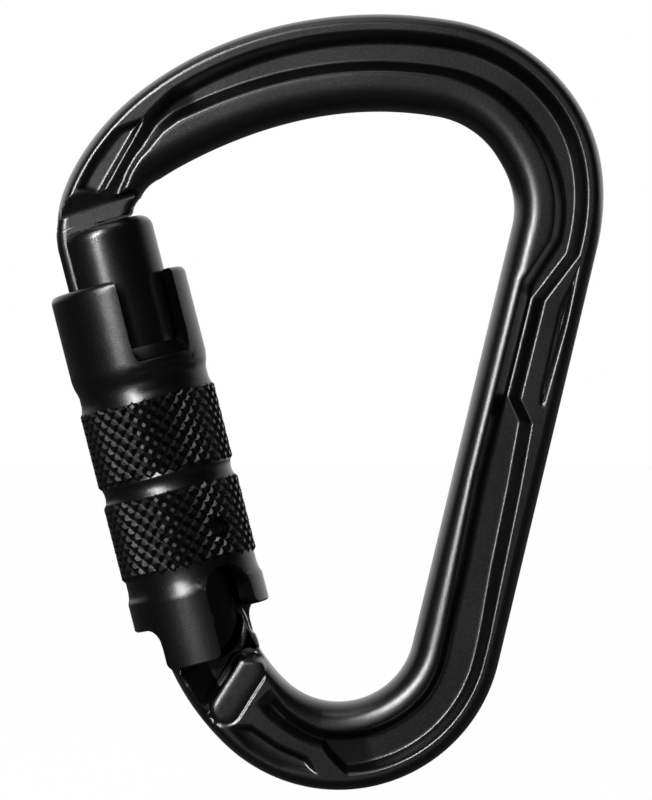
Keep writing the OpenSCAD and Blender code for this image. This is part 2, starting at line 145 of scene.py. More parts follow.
def inside_by(outline, x, z):
    """Distance to a closed outline, positive inside it."""
    sides = list(zip(outline, outline[1:] + outline[:1]))
    inside = False
    for (ax, az), (bx, bz) in sides:
        if (az > z) != (bz > z) and x < ax + (z - az) / (bz - az) * (bx - ax):
            inside = not inside
    away = min(from_segment(a, b, x, z) for a, b in sides)
    return away if inside else -away


# ---------------------------------------------------------------- places on the bar and on the gate
def run_len(run):
    radius, turn = run
    return radius if turn == 0 else radius * radians(turn)


def run_to(n):
    """Length of the first n runs of the bar."""
    return sum(run_len(run) for run in BAR_RUN[:n])


def bar_at(s):
    """Place and heading of the bar's centre line at distance s."""
    x, z = BAR_START
    heading = BAR_HEADING
    for i, (radius, turn) in enumerate(BAR_RUN):
        length = run_len((radius, turn))
        last = i == len(BAR_RUN) - 1
        t = s if last else min(s, length)
        bend = turn * t / length
        a, b = radians(heading), radians(heading - bend)
        if turn == 0:
            x, z = x + t * cos(a), z + t * sin(a)
        else:
            x, z = x + radius * (sin(a) - sin(b)), z - radius * (cos(a) - cos(b))
        heading -= bend
        if s <= length:
            break
        s -= length
    return x, z, heading


def to_gate(x, z):
    c, s = cos(radians(GATE_TILT)), sin(radians(GATE_TILT))
    dx, dz = x - HINGE[0], z - HINGE[1]
    return dx * c + dz * s, -dx * s + dz * c


def from_gate(x, h):
    c, s = cos(radians(GATE_TILT)), sin(radians(GATE_TILT))
    return HINGE[0] + x * c - h * s, HINGE[1] + x * s + h * c


def on_gate(r, phi, h):
    """A point at radius r, azimuth phi and height h round the gate's axis."""
    x, z = from_gate(r * sin(radians(phi)), h)
    return x, -r * cos(radians(phi)), z


# ---------------------------------------------------------------- meshes
def mapped_grid(nu, nv, place, cap=False):
    """A bmesh whose grid of nu by nv cells is laid out by place(i, j), in millimetres.

    Edges that meet are merged, and cap fills the ends that stay open.
    """
    bm = bmesh.new()
    bmesh.ops.create_grid(bm, x_segments=nu, y_segments=nv, size=0.5)
    for v in bm.verts:
        i, j = round((v.co.x + 0.5) * nu), round((v.co.y + 0.5) * nv)
        v.co = [c * MM for c in place(i, j)]
    bmesh.ops.remove_doubles(bm, verts=bm.verts, dist=1e-7)
    if cap:
        bmesh.ops.holes_fill(bm, edges=[e for e in bm.edges if e.is_boundary], sides=0)
    bmesh.ops.recalc_face_normals(bm, faces=bm.faces)
    return bm


def finish_mesh(name, bm, sharp=40):
    """An object from a bmesh, smooth but for edges sharper than the angle."""
    mesh = bpy.data.meshes.new(name)
    bm.to_mesh(mesh)
    bm.free()
    mesh.shade_smooth()
    mesh.set_sharp_from_angle(angle=radians(sharp))
    piece = bpy.data.objects.new(name, mesh)
    bpy.context.scene.collection.objects.link(piece)
    return piece


def join(name, *parts):
    """One object from several bmeshes."""
    whole = bmesh.new()
    for part in parts:
        mesh = bpy.data.meshes.new("part")
        part.to_mesh(mesh)
        part.free()
        whole.from_mesh(mesh)
        bpy.data.meshes.remove(mesh)
    return finish_mesh(name, whole)


# ---------------------------------------------------------------- the forged bar: its section
CORNER_START, CORNER_END = run_to(3), run_to(5)
SPINE_END, BASE_END = run_to(6), run_to(7)
BAR_LAST = 190.6

# widths by distance along the bar: the outer flange, with its jogs beside the slim pocket and the
# base pocket, and the flange the rope runs on
OUTER_FLANGE = [(0, 6.2), (8, 5.9), (12, 5.0), (16, 3.4), (20, 2.6), (30, 2.65), (50, 2.5),
                (CORNER_END + 1.9, 2.35), (CORNER_END + 8.8, 5.4), (CORNER_END + 22.2, 5.5),
                (CORNER_END + 25, 3.3), (120, 2.8), (130, 2.5), (140, 2.2),
                (BASE_END - 13.1, 2.4), (BASE_END - 9.8, 6.1), (BASE_END, 6.9)]
ROPE_FLANGE = [(0, 2.3), (5.8, 2.5), (9.5, 3.0), (13.3, 3.7), (16.4, 4.8), (19, 5.2), (60, 4.9),
               (CORNER_END + 0.8, 5.2), (CORNER_END + 7, 2.95), (120, 2.75), (130, 3.1), (140, 3.5),
               (150, 3.9), (BASE_END - 10, 3.6), (BASE_END - 3, 2.6), (BASE_END + 1, 1.8)]

# the channel between them: its depth, the share of it that is cut along the bar, and its walls
CHANNEL_DEPTH = 2.2
CHANNEL_FADE = [(-2, 0), (1, 0.2), (14, 0.35), (22, 1), (BASE_END - 16, 1), (BASE_END - 10, 0.6),
                (BASE_END - 1, 0.5), (BASE_END + 1, 0)]
BASE_WALL_RUN = 1.1
NOSE_OUTER_RUN, NOSE_INNER_RUN = 0.9, 0.7
FLOOR_LEAST = 0.2
CREASE, NOSE_CREASE = 0.24, 0.7

# powers of the rounded edges, where 2 is a circle and more is fuller
EDGE_POWER, NOSE_EDGE_POWER = 2.3, 1.9
ROPE_ROUND = 3.5

# the nose, where the section leans over to meet the step and its inner edge is slightly hollow
NOSE_BLEND, NOSE_BACK = 12.0, -1.9
NOSE_INNER = (5.85, NOSE_STEP_H)
NOSE_FLARE = (0.6, 0.1)
NOSE_HOLLOW = 0.245


def bar_w(s):
    taper = max(0.0, 1 - s / TAPER_L) ** 3
    full = mix(BASKET_W, SPINE_W, ease(CORNER_START + 15, CORNER_END - 1, s))
    return mix(full, NOSE_W, taper)


def bar_edge(s, side):
    """A point on the bar's outer (1) or inner (-1) edge."""
    x, z, heading = bar_at(s)
    a, half = radians(heading), side * bar_w(s) / 2
    return x - sin(a) * half, z + cos(a) * half


def edges_at(s):
    """Outer and inner edge points of the bar's cross section at s."""
    if s >= NOSE_BLEND:
        return bar_edge(s, 1), bar_edge(s, -1)
    u = s / NOSE_BLEND
    flare = (1 - u) ** 6
    ox, oz = bar_edge(mix(NOSE_BACK, NOSE_BLEND, u), 1)
    start, end = from_gate(*NOSE_INNER), bar_edge(NOSE_BLEND, -1)
    hollow = NOSE_HOLLOW * 4 * u * (1 - u)
    inner = (mix(start[0], end[0], u) - hollow, mix(start[1], end[1], u) + hollow)
    return (ox + NOSE_FLARE[0] * flare, oz + NOSE_FLARE[1] * flare), inner


def features(w, s):
    """Where the channel's walls stand: the outer one's top and foot, the inner one's foot and top."""
    inner_top = w - along(ROPE_FLANGE, s)
    run = mix(WALL_RUN, BASE_WALL_RUN, ease(SPINE_END - 14, SPINE_END, s))
    near_nose = 1 - ease(9, 20, s)
    outer_run = mix(run, NOSE_OUTER_RUN, near_nose)
    inner_run = mix(run, NOSE_INNER_RUN, near_nose)
    outer_top = min(along(OUTER_FLANGE, s), inner_top - outer_run - inner_run - FLOOR_LEAST)
    return outer_top, outer_top + outer_run, inner_top - inner_run, inner_top


def stations_across(w, s):
    """Distances in from the outer edge, gathered where the section bends."""
    outer_top, outer_foot, inner_foot, inner_top = features(w, s)
    edge = min(EDGE_ROUND, w / 4)

    def round_wall(start, end):
        folds = [at + CREASE * k for at in (start, end) for k in (-1, -0.4, 0.4, 1)]
        return folds[:4] + [mix(start, end, 0.5)] + folds[4:]
    points = [edge * (1 - cos(radians(90 * i / 8))) for i in range(8)]
    points += spread(edge, outer_top - CREASE, 24)[:-1]
    points += round_wall(outer_top, outer_foot)
    points += spread(outer_foot + CREASE, inner_foot - CREASE, 10)[1:-1]
    points += round_wall(inner_foot, inner_top)
    return points + [mix(inner_top + CREASE, w, sin(radians(90 * i / 16))) for i in range(1, 17)]


def section_y(d, w, s):
    """Half thickness of the plain bar, d in from its outer edge."""
    edge = min(EDGE_ROUND, w / 4)
    if d < edge:
        return BAR_T / 2 * rounded(1 - d / edge, mix(NOSE_EDGE_POWER, EDGE_POWER, ease(9, 24, s)))
    outer_top, outer_foot, inner_foot, inner_top = features(w, s)
    outer_wall = ramp(outer_top, outer_foot, d, mix(NOSE_CREASE, CREASE, ease(12, 20, s)))
    inner_wall = ramp(inner_foot, inner_top, d, CREASE)
    y = BAR_T / 2 - CHANNEL_DEPTH * along(CHANNEL_FADE, s) * outer_wall * (1 - inner_wall)
    turn = max(inner_top, w - ROPE_ROUND)
    if d > turn:
        y *= rounded((d - turn) / (w - turn), EDGE_POWER)
    return y


# ---------------------------------------------------------------- the forged bar: pockets, step and neck
def on_bar(start, corners):
    """Corners given as (along the bar from start, in from its outer edge)."""
    points = []
    for on, inset in corners:
        x, z, heading = bar_at(start + on)
        v, a = bar_w(start + on) / 2 - inset, radians(heading)
        points.append((x - sin(a) * v, z + cos(a) * v))
    return points


# each pocket's outline, and how gently it falls away from the bar's outer edge
NOSE_POCKET = on_bar(0, [(15.3, 3.3), (11.8, 1.6), (7.7, 1.5), (3.2, 1.9), (3.9, 4.9), (4.8, 5.4),
                         (6.6, 5.4), (14.9, 3.9)])
BASE_POCKET = on_bar(BASE_END, [(1.6, 2.0), (-0.6, 4.5), (-4.8, 4.5), (-8.6, 4.2), (-10.2, 2.0),
                                (-6, 1.5), (-2.4, 1.4)])
SLIM_POCKET = on_bar(CORNER_END, [(3.4, 2.0), (6.5, 2.65), (9.1, 3.2), (20.8, 3.05), (22.3, 2.75),
                                  (22.3, 2.2), (10.7, 1.75)])
POCKETS = [(NOSE_POCKET, 0.9), (BASE_POCKET, 1.6), (SLIM_POCKET, 0.1)]
POCKET_DEPTH, POCKET_RIM = 0.8, 1.7
POCKET_WALL, POCKET_FOLD = (0.1, 0.7), 0.25
POCKET_REACH = 30

# the scoop down to the tongue's cheek: tall at the outside, short at the inside
SCOOP_H, SCOOP_INNER_H = 2.0, 0.6
SCOOP_TILT, SCOOP_FOLD = 0.06, 0.4
SCOOP_CLEAR = 0.03

# the neck, in the gate's frame. The boss runs down from its first point, so its right is the side
# towards the sleeve, and its foot is given on the bar's side and on the sleeve's. The face between
# ridge and boss falls away on the left of the ridge.
BOSS, BOSS_R = ((4.39, -7.87), (0.03, -11.98)), 2.1
BOSS_TOP, BOSS_FOOT = 5.05, (4.55, 3.7)
BOSS_POWER = 4.5
BOSS_GROOVE = 0.5
RIDGE = ((-5.03, -5.44), (-2.48, -12.1))
RIDGE_SLOPE, RIDGE_FALL = 0.75, 2.6
SHOULDER_R = 5.2
LEDGE_H = TAB_END - 0.3
BORE_CLEAR = 0.3

# below this half thickness an edge is left alone; how far along the bar the scoop is cut; and how
# far across and how high in the gate's frame the neck's shapes are cut
THIN_EDGE = 0.6
SCOOP_END = 6
NECK_END = (12, 3)


def half_thickness(d, w, s, x, z):
    """Half thickness of the bar with everything cut into it."""
    y = section_y(d, w, s)
    if y < THIN_EDGE:
        return y
    gx, gh = to_gate(x, z)
    for outline, soft in POCKETS:
        if abs(x - outline[0][0]) < POCKET_REACH and abs(z - outline[0][1]) < POCKET_REACH:
            wall = ramp(*POCKET_WALL, inside_by(outline, x, z), POCKET_FOLD)
            rim = ramp(POCKET_RIM, POCKET_RIM + soft, d, max(0.2, 0.45 * soft))
            y -= POCKET_DEPTH * wall * rim
    if gx < NECK_END[0] and gh < NECK_END[1]:
        y = neck_y(y, gx, gh)
    if s < SCOOP_END:
        y = min(y, scoop_y(gx, gh))
    return y


def scoop_y(gx, gh):
    tall = mix(SCOOP_H, SCOOP_INNER_H, ease(0.5, 4, gx))
    climb = ramp(NOSE_STEP_H, NOSE_STEP_H + tall, gh - SCOOP_TILT * (gx + 6), SCOOP_FOLD)
    return mix(TONGUE_T / 2 + SCOOP_CLEAR, BAR_T / 2, climb)


def neck_y(y, gx, gh):
    """The neck under the ears: sloping face, oval boss in its groove, and shoulder."""
    sleeve_side = right_of(*BOSS, gx, gh)
    fall = min(RIDGE_FALL, RIDGE_SLOPE * max(0.0, -right_of(*RIDGE, gx, gh)))
    y = min(y, BAR_T / 2 - fall * ease(-1.0, 0.4, sleeve_side))

    away = from_segment(*BOSS, gx, gh)
    beside = ease(-0.6, 1, sleeve_side)
    y -= BOSS_GROOVE * beside * bump(BOSS_R - 0.3, BOSS_R + 0.25, BOSS_R + 0.35, BOSS_R + 1.1, away)
    crown = sqrt(max(0.0, 1 - min(1.0, away / (BOSS_R + 0.1)) ** BOSS_POWER))
    dome = mix(mix(*BOSS_FOOT, beside), BOSS_TOP, crown)
    y = mix(dome, y, ease(BOSS_R - 0.2, BOSS_R + 0.3, away))

    # inside the sleeve's bore at rest, and at full swing with the sleeve up
    c, s = cos(radians(GATE_SWING)), sin(radians(GATE_SWING))
    for x, h, ledge in ((gx, gh, LEDGE_H), (gx * c - gh * s, gx * s + gh * c, LEDGE_H + SLEEVE_LIFT)):
        within = sqrt(max(LUG_T ** 2 / 4, (BORE_R - BORE_CLEAR) ** 2 - x * x))
        y = mix(y, min(y, within), ease(ledge - 1.5, ledge, h))
    return mix(min(y, LUG_T / 2), y, ease(SHOULDER_R - 0.1, SHOULDER_R + 0.3, hypot(gx, gh)))


# ---------------------------------------------------------------- the forging
# distances between cross sections, fine where a pocket, a jog or the neck needs it
COARSE_STEP = 0.6
FINE_STEPS = [(-1, 17, 0.2), (CORNER_END + 1, CORNER_END + 26, 0.3), (BASE_END - 14, BASE_END + 14, 0.16)]


def build_bar():
    stations = [0.0]
    while stations[-1] < BAR_LAST:
        s = stations[-1]
        step = next((step for a, b, step in FINE_STEPS if a < s < b), COARSE_STEP)
        stations.append(s + step)
    rings = []
    for s in stations:
        (ox, oz), (ix, iz) = edges_at(s)
        w = hypot(ix - ox, iz - oz)
        front = []
        for d in stations_across(w, s):
            x, z = mix(ox, ix, d / w), mix(oz, iz, d / w)
            front.append((x, half_thickness(d, w, s, x, z), z))
        rings.append([(x, -y, z) for x, y, z in front] + [(x, y, z) for x, y, z in front[-2:0:-1]])
    around = len(rings[0])
    return mapped_grid(len(rings) - 1, around, lambda i, j: rings[i][j % around], cap=True)


# edges of the tongue and of the pad above the gate: (height, across), in the gate's frame
NOSE_TOP = NOSE_STEP_H + 0.7
PAD_LOW = GATE_H + NOSE_GAP
TONGUE_OUTER = [(SLEEVE_TOP, -6.5), (52.5, -6.5), (54, -6.3), (55.1, -6.02), (NOSE_STEP_H, -5.5),
                (NOSE_TOP, -5.2)]
PAD_INNER = [(PAD_LOW, 4.3), (55.6, 4.75), (56.1, 5.2), (NOSE_STEP_H, 5.7), (NOSE_TOP, 6.3)]
TONGUE_ROUND, SLOT_ROUND, PAD_ROUND = 1.5, 0.2, 1.2


def build_nose():
    """Tongue and pad below the step: a flat cheek with rounded edges, front and back alike."""
    rows = [(h, TONGUE_IN) for h in spread(SLEEVE_TOP + 0.1, PAD_LOW - 0.3, 40)]
    pad_in = along(PAD_INNER, PAD_LOW)
    rows += [(PAD_LOW - 0.05, TONGUE_IN), (PAD_LOW, pad_in - 0.3), (PAD_LOW + 0.12, pad_in - 0.08)]
    rows += [(h, along(PAD_INNER, h)) for h in spread(PAD_LOW + 0.3, NOSE_TOP, 16)]
    cols = 28

    def place(i, j):
        h, right = rows[i]
        left = along(TONGUE_OUTER, h)
        k = j % (2 * cols)
        front = k <= cols
        f = k / cols if front else 2 - k / cols
        f = mix(f, 0.5 - 0.5 * cos(pi * f), 0.6)           # columns gather at both edges
        d, w = f * (right - left), right - left
        y = TONGUE_T / 2 - quarter(d, TONGUE_ROUND)
        y -= quarter(w - d, PAD_ROUND if h >= PAD_LOW else SLOT_ROUND)
        if k in (0, cols):
            y = 0.0
        x, z = from_gate(left + d, h)
        return x, -y if front else y, z
    return mapped_grid(len(rows) - 1, 2 * cols, place, cap=True)


# the lug about the hinge: (degrees from the gate's X towards its height, radius)
LUG_OUTLINE = [(-180, 4.25), (-153, 5.8), (-141, 7.3), (-122, 8.7), (-105, 10.5), (-70, 10.5), (-51, 8.2),
               (-40, 8.3), (-30, 7.2), (-27, 6.5), (-21, 6.1), (-3, 5.5), (10, 5.1), (27, 5.25), (50, 5.5),
               (75, 4.8), (90, 4.25), (180, 4.25)]
LUG_BEVEL = 0.25


def build_lug():
    half = LUG_T / 2
    around = 180

    def place(i, j):
        a = -180 + 360 * (i % around) / around
        r = along(LUG_OUTLINE, a)
        rim = [(RIVET_HOLE_R, -half), (r - LUG_BEVEL, -half), (r, LUG_BEVEL - half),
               (r, half - LUG_BEVEL), (r - LUG_BEVEL, half), (RIVET_HOLE_R, half)]
        reach, y = rim[j % len(rim)]
        x, z = from_gate(reach * cos(radians(a)), reach * sin(radians(a)))
        return x, y, z
    return mapped_grid(around, 6, place)


body = join("body_forging", build_bar(), build_nose(), build_lug())
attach(body, "body")
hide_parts("body")


# ---------------------------------------------------------------- the sleeve's turned shell
EDGE_BEVEL, COLLAR_BEVEL = 0.22, 0.15
RIM_ROUND = 0.9
KNURL_SEAT = NECK_R - 0.2

# outer radius by height below the lower knurl and above the upper one
LOWER_NECK = [(LOWER_COLLAR, SLEEVE_R), (LOWER_COLLAR + 1.0, NECK_R + 0.08), (5.9, NECK_R), (7.2, NECK_R),
              (BANDS[0][0], NECK_R + 0.05)]
UPPER_NECK = [(BANDS[1][1], NECK_R + 0.16), (31.3, NECK_R - 0.1), (32.5, NECK_R - 0.12),
              (33.8, NECK_R + 0.2), (UPPER_COLLAR, SLEEVE_R)]

# roundings of the tabs, arches and window, and how far their columns fan out towards the knurl
TAB_FILLET, TAB_CORNER, TAB_FAN = 2.6, 0.9, 1.2
ARCH_ROUND, ARCH_FAN = 1.1, 0.8
WINDOW_ROUND, WINDOW_FAN_DEG = 1.2, 12.0
WINDOW_SLOPE = 0.8


def neck_r(h):
    """Outer radius of the turned shell by height."""
    points = UPPER_NECK if h > BANDS[1][1] - 0.1 else LOWER_NECK
    if h <= points[0][0]:
        return points[0][1]
    for (h0, r0), (h1, r1) in zip(points, points[1:]):
        if h <= h1:
            return mix(r0, r1, ease(h0, h1, h))
    return points[-1][1]


def skirt_columns():
    """(azimuth at the knurl, azimuth and height at the edge) for half a turn, from the tab's fillet."""
    per_deg = SLEEVE_R * pi / 180
    tab = (TAB_PHI[1] - TAB_PHI[0]) * per_deg
    arch_r = (ARCH_PHI[1] - ARCH_PHI[0]) * per_deg / 2
    arch_foot = ARCH_TOP - arch_r
    arch_end = tab + 2 * arch_r
    inset = TAB_CORNER + TAB_FAN

    def deg(x):
        return TAB_PHI[0] + x / per_deg

    def columns(edge, tops):
        return [(top, deg(x), h) for top, (x, h) in zip(tops, edge)]

    fillet = arc(-TAB_FILLET, SKIRT_END - TAB_FILLET, TAB_FILLET, 90, 0, 14)
    cols = columns(fillet, [deg(x) for x, h in fillet])

    side = [(0.0, h) for h in spread(SKIRT_END - TAB_FILLET, TAB_END + TAB_CORNER, 8)[1:]]
    side += arc(TAB_CORNER, TAB_END + TAB_CORNER, TAB_CORNER, 180, 270, 6)[1:]
    cols += columns(side, spread(deg(0.0), deg(inset), len(side))[1:])

    end = [(x, TAB_END) for x in spread(TAB_CORNER, tab - TAB_CORNER, 24)[1:-1]]
    cols += columns(end, spread(deg(inset), deg(tab - inset), len(end) + 1)[1:-1])

    side = arc(tab - TAB_CORNER, TAB_END + TAB_CORNER, TAB_CORNER, 270, 360, 6)
    side += [(tab, h) for h in spread(TAB_END + TAB_CORNER, arch_foot, 10)[1:-1]]
    cols += columns(side, spread(deg(tab - inset), deg(tab), len(side))[:-1])

    arch = arc(tab + arch_r, arch_foot, arch_r, 180, 0, 36)
    cols += columns(arch, [deg(x) for x, h in arch])

    drop = [(arch_end, h) for h in spread(arch_foot, SKIRT_END + ARCH_ROUND, 4)[1:-1]]
    drop += arc(arch_end + ARCH_ROUND, SKIRT_END + ARCH_ROUND, ARCH_ROUND, 180, 270, 6)
    cols += columns(drop, spread(deg(arch_end), deg(arch_end + ARCH_ROUND + ARCH_FAN), len(drop))[1:])

    last, first = cols[-1], cols[0]
    for t in spread(0, 1, 40)[1:-1]:
        cols.append((mix(last[0], first[0] + 180, t), mix(last[1], first[1] + 180, t), SKIRT_END))
    return cols


def build_skirt():
    """Skirt, tabs and arches below the lower knurl; the second half turn repeats the first."""
    half = skirt_columns()
    cols = half + [(a + 180, b + 180, h) for a, b, h in half]
    top = BANDS[0][0]
    rows = 22

    def place(i, j):
        knurl_phi, edge_phi, edge_h = cols[i % len(cols)]
        turn = 360 if i == len(cols) else 0
        if j <= rows:                                   # outer face, from the knurl down to the edge
            t = j / rows
            h = mix(top, edge_h + EDGE_BEVEL, t)
            return on_gate(neck_r(h), mix(knurl_phi, edge_phi, t) + turn, h)
        if j == rows + 1:
            return on_gate(neck_r(edge_h) - EDGE_BEVEL, edge_phi + turn, edge_h)
        if j == rows + 2:
            return on_gate(BORE_R + EDGE_BEVEL, edge_phi + turn, edge_h)
        t = (j - rows - 3) / 6                          # inner face, back up
        return on_gate(BORE_R, mix(edge_phi, knurl_phi, t) + turn, mix(edge_h + EDGE_BEVEL, top, t))
    return mapped_grid(len(cols), rows + 9, place)


def side_deg(x, r):
    """Degrees between the window's middle and a point x to the side of it, at radius r."""
    return degrees(asin(max(-1.0, min(1.0, x / r))))


def window_columns():
    """(azimuth at the knurl, across the window, height) down its left side, along its floor and up."""
    wall_top, wall_low = SLEEVE_TOP - 0.4, WINDOW_FLOOR + WINDOW_ROUND
    half, floor_half = WINDOW_HALF, WINDOW_HALF - WINDOW_ROUND
    edge = side_deg(half, SLEEVE_R)
    cols = []
    for i in range(1, 12):
        phi = WINDOW_PHI - edge - WINDOW_FAN_DEG * (1 - i / 12)
        cols.append((phi, -half, mix(wall_top, wall_low, i / 11)))
    floor = arc(-floor_half, wall_low, WINDOW_ROUND, 180, 270, 6)
    floor += [(x, WINDOW_FLOOR) for x in spread(-floor_half, floor_half, 20)[1:-1]]
    floor += arc(floor_half, wall_low, WINDOW_ROUND, 270, 360, 6)
    cols += [(WINDOW_PHI + side_deg(x, SLEEVE_R), x, h) for x, h in floor]
    for i in range(1, 12):
        phi = WINDOW_PHI + edge + WINDOW_FAN_DEG * i / 12
        cols.append((phi, half, mix(wall_low, wall_top, i / 11)))
    return cols


def build_collar():
    """The plain end above the upper knurl, with the window for the nose."""
    window = window_columns()
    around = 150
    start, end = window[-1][0], window[0][0] + 360
    low = BANDS[1][1]
    rows = 26
    n = len(window) + around

    def rim(i):
        """Azimuth at the knurl, azimuth at the edge by radius, and height of the edge."""
        if i < len(window):
            foot, x, h = window[i]
            return foot, (lambda r: WINDOW_PHI + side_deg(x, r)), h
        k = i - len(window)
        foot = mix(start, end, (k + 1) / (around + 1))
        edge = side_deg(WINDOW_HALF, SLEEVE_R)
        u = k / (around - 1)

        def phi(r):
            shift = side_deg(WINDOW_HALF, r) - edge
            plain = mix(WINDOW_PHI + edge, WINDOW_PHI + 360 - edge, u)
            return plain + shift * (1 - ease(0, 0.06, u)) - shift * ease(0.94, 1, u)
        return foot, phi, SLEEVE_TOP

    def place(i, j):
        turn = 360 if i == n else 0
        foot, phi, edge_h = rim(i % n)
        plain = i % n >= len(window)
        slope = 0.0
        if not plain:
            on_floor = 1 - ease(WINDOW_FLOOR + 0.2, WINDOW_FLOOR + 1.4, edge_h)
            slope = WINDOW_SLOPE * (SLEEVE_R - BORE_R) * on_floor
        round_r = RIM_ROUND if plain else EDGE_BEVEL
        outer_h = edge_h - slope
        if j <= rows:                                   # outer face, from the knurl up to the edge
            t = j / rows
            h = mix(low, outer_h - round_r, t)
            r = neck_r(h)
            return on_gate(r, mix(foot, phi(r), t) + turn, h)
        if j <= rows + 6:                               # the rounded edge
            a = radians(90 * (j - rows) / 6)
            r = SLEEVE_R - round_r * (1 - cos(a))
            return on_gate(r, phi(r) + turn, outer_h - round_r * (1 - sin(a)))
        if j == rows + 7:
            r = BORE_R + COLLAR_BEVEL
            return on_gate(r, phi(r) + turn, edge_h)
        t = (j - rows - 8) / 6                          # inner face, back down
        return on_gate(BORE_R, mix(phi(BORE_R), foot, t) + turn, mix(edge_h - COLLAR_BEVEL, low, t))
    return mapped_grid(n, rows + 14, place)


def build_groove():
    """The turned groove between the knurled bands, the seats behind them and the bore."""
    low, high = BANDS[0][0], BANDS[1][1]
    groove_low, groove_high = BANDS[0][1] + 0.1, BANDS[1][0] - 0.1
    mid = (groove_low + groove_high) / 2
    profile = [(KNURL_SEAT, low), (KNURL_SEAT, groove_low - 0.3), (NECK_R, groove_low)]
    for h in spread(groove_low, groove_high, 12)[1:-1]:
        profile.append((NECK_R - 0.17 + 0.33 * ((h - mid) / (groove_high - mid)) ** 2, h))
    profile += [(NECK_R, groove_high), (KNURL_SEAT, groove_high + 0.3), (KNURL_SEAT, high)]
    profile += [(BORE_R, high), (BORE_R, low)]
    around = 180

    def place(i, j):
        r, h = profile[j]
        return on_gate(r, 360 * (i % around) / around, h)
    bm = mapped_grid(around, len(profile) - 1, place)
    drill(bm, PIN_PHI, PIN_H, HOLE_R)
    return bm


def build_hole():
    """Wall of the assembly hole, from the knurl through to the bore."""
    around = 20

    def place(i, j):
        a, r = 2 * pi * (i + 0.5) / around, (BORE_R, SLEEVE_R - 0.1)[j]
        side, up = HOLE_R * sin(a), HOLE_R * cos(a)
        return on_gate(sqrt(r * r - side * side) if j else r, PIN_PHI + degrees(asin(side / r)), PIN_H + up)
    return mapped_grid(around, 1, place)


def drill(bm, phi, h, r, sides=20):
    """Take away a round hole that points at the gate's axis."""
    outward = Vector(on_gate(1, phi, 0)) - Vector(on_gate(0, phi, 0))
    up = Vector(on_gate(0, phi, 1)) - Vector(on_gate(0, phi, 0))
    sideways = up.cross(outward)
    centre = Vector(on_gate(0, phi, h))

    def within(face, reach):
        across = face.calc_center_median() / MM - centre
        return across.dot(outward) > 0 and hypot(across.dot(up), across.dot(sideways)) < reach
    for i in range(sides):
        a = 2 * pi * i / sides
        normal = up * cos(a) + sideways * sin(a)
        faces = [f for f in bm.faces if within(f, 2 * r)]
        geom = faces + list({e for f in faces for e in f.edges}) + list({v for f in faces for v in f.verts})
        bmesh.ops.bisect_plane(bm, geom=geom, plane_co=(centre + normal * r) * MM, plane_no=normal)
    bmesh.ops.delete(bm, geom=[f for f in bm.faces if within(f, r)], context="FACES")


# ---------------------------------------------------------------- the knurled bands
KNURL_AROUND = 32
KNURL_DEPTH = 0.42
KNURL_SLOPE = 0.54


def build_knurl(name, low, high):
    """Crossed knurling: whole diamonds only, each raised to a blunt point."""
    pitch = 2 * pi * SLEEVE_R / KNURL_AROUND
    rows = int((high - low) / pitch) + 1
    base = (low + high) / 2 - rows * pitch / 2
    bm = bmesh.new()
    bmesh.ops.create_grid(bm, x_segments=KNURL_AROUND, y_segments=rows, size=0.5)
    for v in bm.verts:
        turn = 2 * pi * (round((v.co.x + 0.5) * KNURL_AROUND) % KNURL_AROUND) / KNURL_AROUND
        v.co = (cos(turn), sin(turn), v.co.y + 0.5)
    bmesh.ops.remove_doubles(bm, verts=bm.verts, dist=1e-5)
    # squares to diamonds: a point in each, then the squares' own edges go
    squares = [e for e in bm.edges if not e.is_boundary]
    bmesh.ops.poke(bm, faces=bm.faces)
    bmesh.ops.dissolve_edges(bm, edges=squares, use_verts=False)
    bmesh.ops.delete(bm, geom=[f for f in bm.faces if len(f.verts) < 4], context="FACES")
    for v in bm.verts:
        place = on_gate(SLEEVE_R - KNURL_DEPTH, degrees(atan2(v.co.y, v.co.x)), base + v.co.z * rows * pitch)
        v.co = [c * MM for c in place]
    bm.normal_update()
    if sum(f.normal.y * f.calc_center_median().y for f in bm.faces) < 0:
        bmesh.ops.reverse_faces(bm, faces=bm.faces)
    bmesh.ops.inset_individual(bm, faces=bm.faces, thickness=KNURL_SLOPE * MM, depth=KNURL_DEPTH * MM)
    if low < PIN_H < high:
        drill(bm, PIN_PHI, PIN_H, HOLE_R)
    return finish_mesh(name, bm, sharp=20)


shell = join("sleeve_shell", build_skirt(), build_collar(), build_groove(), build_hole())
knurls = [build_knurl(name, *band) for name, band in zip(("knurl_lower", "knurl_upper"), BANDS)]
for piece in (shell, *knurls):
    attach(piece, "sleeve")
    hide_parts("locking_sleeve")


# ---------------------------------------------------------------- materials
GRAIN_RELIEF_MM = 0.02
WEAR_MM, WEAR_ROUGH = 9.0, 0.03


def linear(hex_colour):
    """sRGB hex to a linear colour."""
    out = []
    for k in (1, 3, 5):
        c = int(hex_colour[k:k + 2], 16) / 255
        out.append(c / 12.92 if c <= 0.04045 else ((c + 0.055) / 1.055) ** 2.4)
    return (*out, 1.0)


def add(tree, kind, inputs=None, **settings):
    """Add a node, set its attributes and plug or set its inputs."""
    node = tree.nodes.new(kind)
    for key, value in settings.items():
        setattr(node, key, value)
    for key, value in (inputs or {}).items():
        if isinstance(value, bpy.types.NodeSocket):
            tree.links.new(value, node.inputs[key])
        else:
            node.inputs[key].default_value = value
    return node


